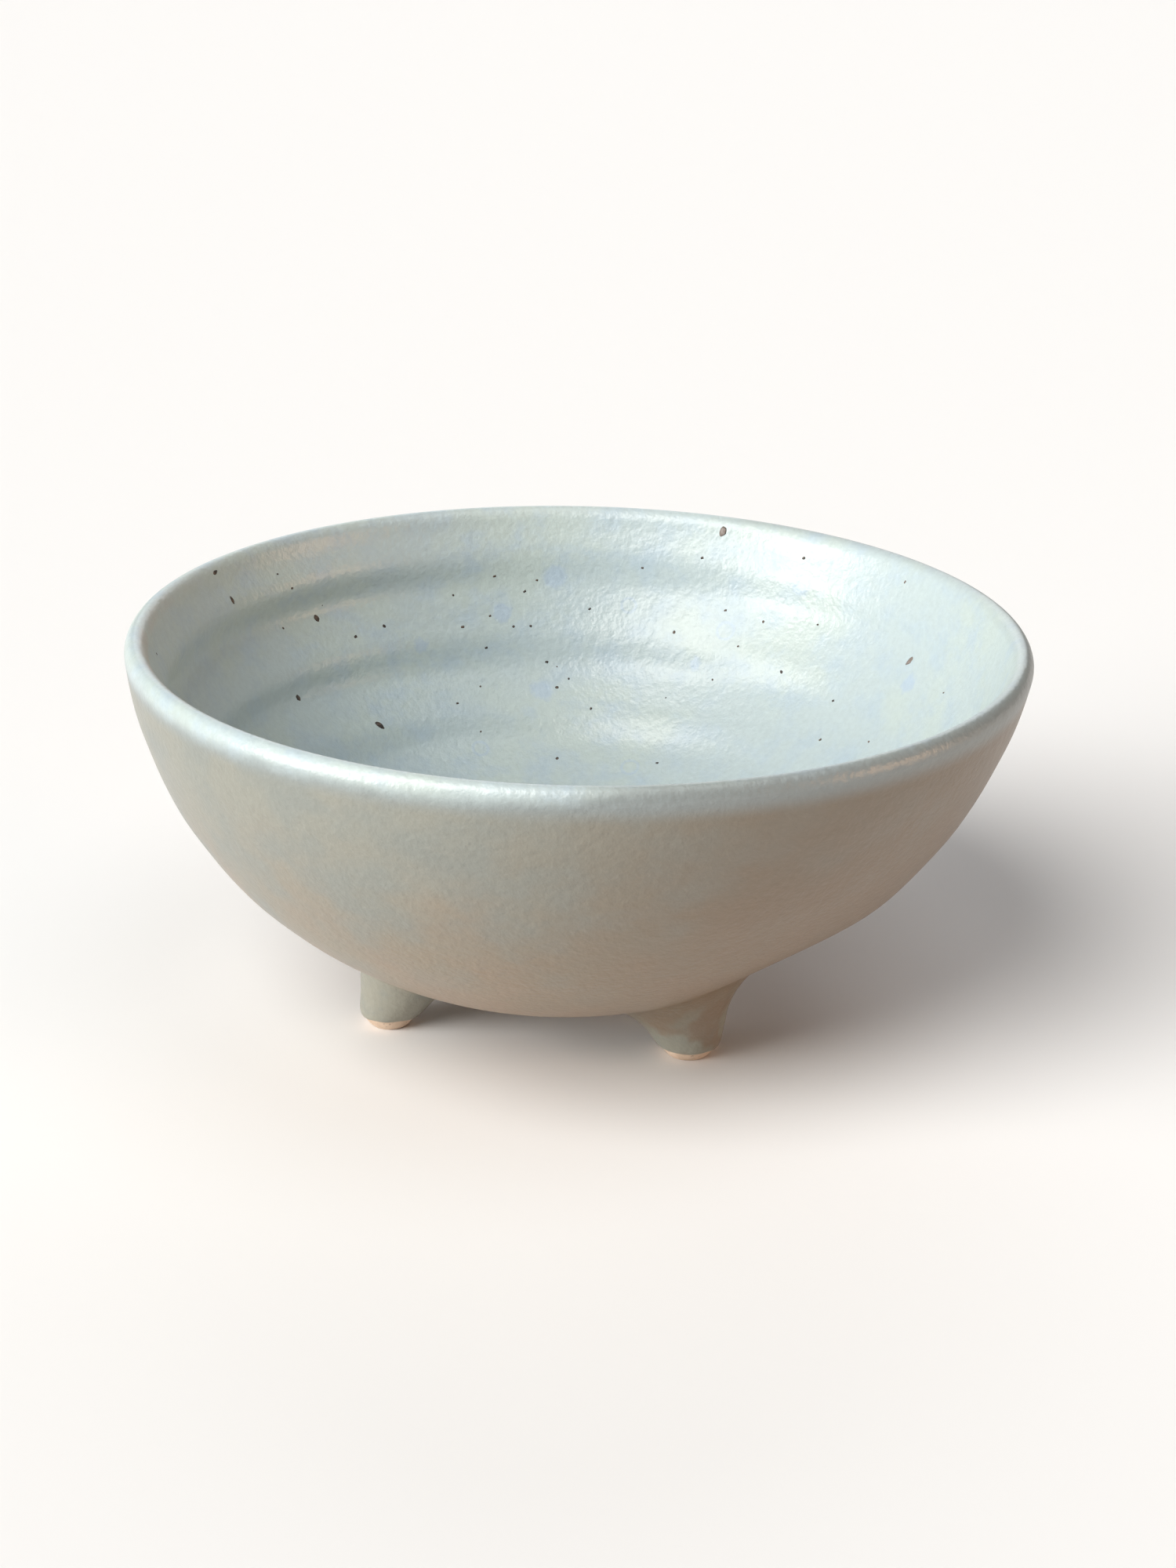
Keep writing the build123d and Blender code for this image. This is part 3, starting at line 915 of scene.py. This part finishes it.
# %% A closed mesh from rings of points
def lathe(name, rings, first_pole, last_pole, material, on_foot=()):
    """Skins the rings and closes both ends with a fan. on_foot is each ring's share of the foot's colours."""
    points = [first_pole] + [point for ring in rings for point in ring] + [last_pole]
    faces = []
    for step in range(AROUND):
        beside = (step + 1) % AROUND
        faces.append((0, 1 + step, 1 + beside))
        for row in range(len(rings) - 1):
            here, there = 1 + row * AROUND, 1 + (row + 1) * AROUND
            faces.append((here + beside, here + step, there + step, there + beside))
        last = 1 + (len(rings) - 1) * AROUND
        faces.append((len(points) - 1, last + beside, last + step))
    piece = new_piece(name, [leaned(hand_pressed(point)) for point in points], faces, material)
    if on_foot:
        per_point = [on_foot[0]] + [value for value in on_foot for _ in range(AROUND)] + [on_foot[-1]]
        piece.data.attributes.new("foot", "FLOAT", "POINT").data.foreach_set("value", per_point)
    print(name, len(points), "points")
    return piece


def leaned(point):
    """The same lean as the bowl's, which is nothing at the table."""
    return point + Vector((BOWL_LEAN * point.z, 0, 0))


def thumbed(point):
    """The skirt of a foot follows the wall where the thumb pressed it."""
    near = max(0, 1 - (point - PRESS_PLACE).length / PRESS_REACH)
    inward = (Vector((0, 0, sphere_centre.y)) - point).normalized()
    return point + inward * PRESS_DEPTH * near * near * (3 - 2 * near)


LUMP_SIZE = 7 * MM
LUMP_DEPTH = 0.25 * MM


def hand_pressed(point):
    """Small lumps that fingers leave, none at the table or up at the bowl's wall."""
    lump = noise.noise_vector(point / LUMP_SIZE)
    amount = min(1, point.z / (3 * MM)) * max(0, min(1, (10 * MM - point.z) / (5 * MM)))
    return point + lump * LUMP_DEPTH * amount


# %% The glaze on a foot
SKIRT_MARGIN = 3.0 * MM
SKIRT_LIFT = 0.02 * MM
BURIED_DEPTH = 1.5 * MM
GLAZE_EDGE = [(0.33, 0.04), (0.2, 0.0), (0.02, 0.02), (-0.4, 0.1)]  # out and up from the bare line, mm


def foot_coat(name):
    foot = Foot(name)
    start, hollow_end, centre = flank(foot, GLAZE)
    hollow_angle = atan2(centre.x, centre.y)
    edge_angle = hollow_angle + SKIRT_MARGIN / sphere_radius
    rings, on_foot = [], []

    def add(ring, value):
        rings.append(ring)
        on_foot.append(value)

    # The skirt, from inside the wall out to where the hollow begins.
    buried = sphere_radius - BURIED_DEPTH
    skirt = [(edge_angle + 1.4 * MM / sphere_radius, buried),
             (edge_angle + 0.7 * MM / sphere_radius, sphere_radius - 0.05 * MM)]
    for angle, lift in zip(spread(edge_angle, hollow_angle, 6), spread(-0.5 * SKIRT_LIFT, SKIRT_LIFT, 6)):
        skirt.append((angle, sphere_radius + lift))
    for angle, radius in skirt:
        add([thumbed(point) for point in foot.ring(radius * sin(angle), radius * cos(angle))], 0)

    # The hollow that the thumb leaves round the top of the foot.
    first = atan2(-centre.y, -centre.x)
    last = atan2(-sin(foot.flank_angle), -cos(foot.flank_angle))
    for index, angle in enumerate(spread(first, last, 16)[1:]):
        blend_in = (index + 1) / 15
        near = foot.hollow - SKIRT_LIFT * (1 - blend_in)
        ring = foot.ring(centre.x + near * cos(angle), centre.y + near * sin(angle))
        ring = [point.lerp(thumbed(point), (1 - blend_in) ** 0.7) for point in ring]
        add(ring, blend_in ** 1.5)

    # The flank down to the bare line, and the glaze's rounded edge.
    top = -(hollow_end - start).length
    for share in spread(0, 1, 20)[1:]:
        add(foot.skin_ring(foot.radius + GLAZE, top, foot.bare_height + 0.15 * MM, share, BARE_WAVER), 1)
    for coat, level in GLAZE_EDGE:
        add(foot.skin_ring(foot.radius + coat * MM, top, foot.bare_height + level * MM, 1, BARE_WAVER), 1)
    pole = foot.top + foot.down * buried
    piece = lathe(f"foot_glaze_{name}", rings, pole, foot.ball, glaze_material, on_foot)
    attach(piece, "root")
    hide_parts(f"luting_{name}")


for name in stands:
    foot_coat(name)


# %% The clay of a foot, bare at its tip
SOLE_EDGE = [(0.975, 0.05), (0.94, 0.01), (0.88, 0.0)]  # share of the sole's radius, height in mm


def foot_clay(name):
    foot = Foot(name)
    start, hollow_end, _ = flank(foot, 0)
    top = -0.7 * (hollow_end - start).length
    rings = [foot.skin_ring(foot.radius, top, 0.12 * MM, share) for share in spread(0, 1, 22)]
    sole = rings[-1]
    for share, level in SOLE_EDGE:
        lift = Vector((0, 0, level * MM))
        rings.append([foot.stand.lerp(point, share).xy.to_3d() + lift for point in sole])
    pole = foot.top + foot.down * (sphere_radius + 1 * MM)
    piece = lathe(f"foot_clay_{name}", rings, pole, foot.stand, clay_material)
    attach(piece, "root")
    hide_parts(f"foot_{name}")


for name in stands:
    foot_clay(name)

# %% [markdown]
# ## The studio
#
# The bowl stands on a plain pale floor, in the light of a room. Five distant lamps,
# each as wide as a window, stand for it. The window itself is up on the left and
# towards the viewer: it makes the broad satin glow on the far right of the inside, and
# leaves the right of the outside in soft shade. A low one beside it lights the left of
# the outside. A weak one from above and one from behind fill in the shade, and a warm
# one low on the right is the glow that a wooden wall throws back.

# %% Floor and world
def floor_paper():
    material, _, surface, _ = shader("floor_paper")
    surface.inputs["Base Color"].default_value = colour(0.86, 0.86, 0.86)
    surface.inputs["Roughness"].default_value = 0.9
    return material


floor_corners = [(-3, -3, 0), (3, -3, 0), (3, 5, 0), (-3, 5, 0)]
studio_floor = new_piece("studio_floor", floor_corners, [(0, 1, 2, 3)], floor_paper())

world = bpy.data.worlds.new("studio")
bpy.context.scene.world = world
world.use_nodes = True
background = world.node_tree.nodes["Background"]
background.inputs["Color"].default_value = colour(0.93, 0.97, 1.0)
background.inputs["Strength"].default_value = 0.08


# %% Lights: azimuth, elevation, width in degrees, strength and tint
def soft_sun(name, azimuth, elevation, width, strength, tint):
    """A distant lamp as wide as a window, so that its shadows and its gloss are soft."""
    lamp = bpy.data.lights.new(name, "SUN")
    lamp.energy = strength
    lamp.angle = radians(width)
    lamp.color = tint
    light = bpy.data.objects.new(name, lamp)
    a, e = radians(azimuth), radians(elevation)
    towards = Vector((cos(e) * cos(a), cos(e) * sin(a), sin(e)))
    light.rotation_euler = (-towards).to_track_quat("-Z", "Y").to_euler()
    bpy.context.collection.objects.link(light)


soft_sun("window", 233, 47, 36, 2.45, (1.0, 0.975, 0.935))
soft_sun("low_window", 205, 13, 36, 3.3, (1.0, 0.98, 0.945))
soft_sun("ceiling", 325, 70, 36, 0.45, (0.95, 0.98, 1.0))
soft_sun("back_window", 90, 26, 45, 0.75, (0.94, 0.97, 1.0))
soft_sun("warm_wall", 350, 6, 30, 1.2, (1.0, 0.64, 0.40))
print("lamps", len(bpy.data.lights))

# %% [markdown]
# ## The camera
#
# The camera looks down into the bowl from a little over twenty degrees, close enough
# for the near lip to look wider than the far one, and is turned by a degree or so.

# %% Camera
ELEVATION = radians(21.664)
ROLL = radians(1.344)
DISTANCE = 450 * MM
AIM = Vector((2.016 * MM + BOWL_LEAN * 67.8 * MM, 0, 41.469 * MM))
LENS = 59.6

forward = Vector((0, cos(ELEVATION), -sin(ELEVATION)))
right = Vector((1, 0, 0))
up = right.cross(forward)
camera_right = right * cos(ROLL) + up * sin(ROLL)
camera_up = up * cos(ROLL) - right * sin(ROLL)
lens = bpy.data.cameras.new("camera")
lens.lens = LENS
lens.sensor_fit = "VERTICAL"
lens.sensor_height = 36
lens.clip_start = 0.01
camera = bpy.data.objects.new("camera", lens)
turn = Matrix((camera_right, camera_up, -forward)).transposed()
camera.matrix_world = Matrix.Translation(AIM - forward * DISTANCE) @ turn.to_4x4()
bpy.context.collection.objects.link(camera)
bpy.context.scene.camera = camera
bpy.context.scene.view_settings.view_transform = "Standard"
print("camera at", [round(value / MM) for value in camera.matrix_world.translation], "mm")
